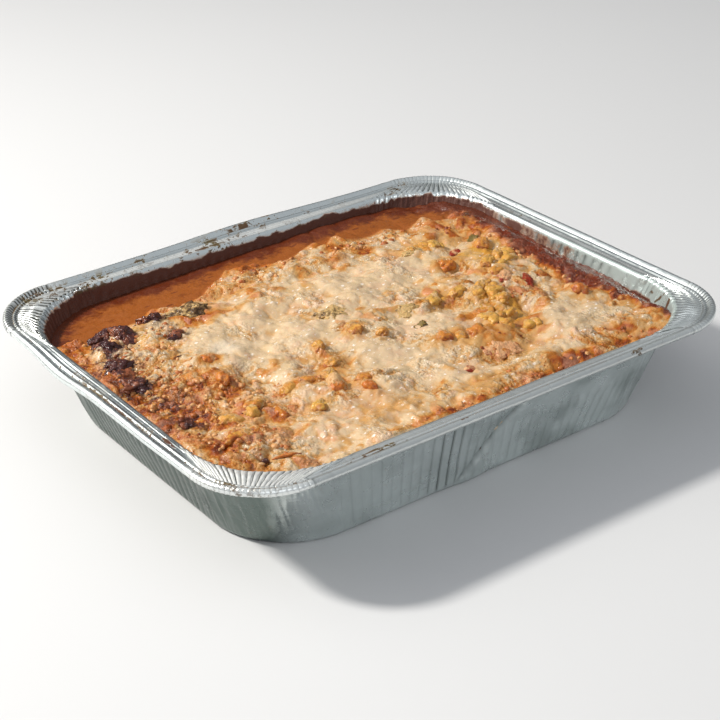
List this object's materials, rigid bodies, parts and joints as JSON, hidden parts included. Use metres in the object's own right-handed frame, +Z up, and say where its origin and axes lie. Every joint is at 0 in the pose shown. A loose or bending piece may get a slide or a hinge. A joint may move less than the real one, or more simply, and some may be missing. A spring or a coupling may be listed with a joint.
{
  "type": "baked ham and blue cheese pasta in a foil tray",
  "caption": "Shallow rectangular foil tray with a rolled rim, filled with a browned ham and blue cheese pasta bake; stands flat on its base.",
  "frame": {"origin": "centre of the tray's flat base, on the surface the tray stands on", "axes": "+X along the tray's long side, +Y along its short side away from the viewer, +Z up out of the open top"},
  "size_m": [0.324, 0.264, 0.0595],
  "materials": {
    "foil": "pressed bright foil, creased, with baked-on specks and a brown burnt band inside",
    "bake": "set cream sauce, pale tan in the middle, orange at the edge and dark red-brown where it browned",
    "charred_ham": "ham burnt purple-black, greasy gloss",
    "ham": "cooked pink ham with a browned edge, moist",
    "blue_cheese": "melted cream cheese crumb with grey-olive veins",
    "herb": "dried dark olive leaf"
  },
  "bodies": {
    "root": {"blue_cheese_1": "blue_cheese", "blue_cheese_2": "blue_cheese", "blue_cheese_3": "blue_cheese", "blue_cheese_4": "blue_cheese", "charred_ham_1": "charred_ham", "charred_ham_10": "charred_ham", "charred_ham_2": "charred_ham", "charred_ham_3": "charred_ham", "charred_ham_4": "charred_ham", "charred_ham_5": "charred_ham", "charred_ham_6": "charred_ham", "charred_ham_7": "charred_ham", "charred_ham_8": "charred_ham", "charred_ham_9": "charred_ham", "ham_1": "ham", "ham_2": "ham", "ham_3": "ham", "ham_4": "ham", "ham_5": "ham", "herb_1": "herb", "herb_2": "herb", "pasta_bake": "bake", "tray": "foil"}
  },
  "joints": []
}
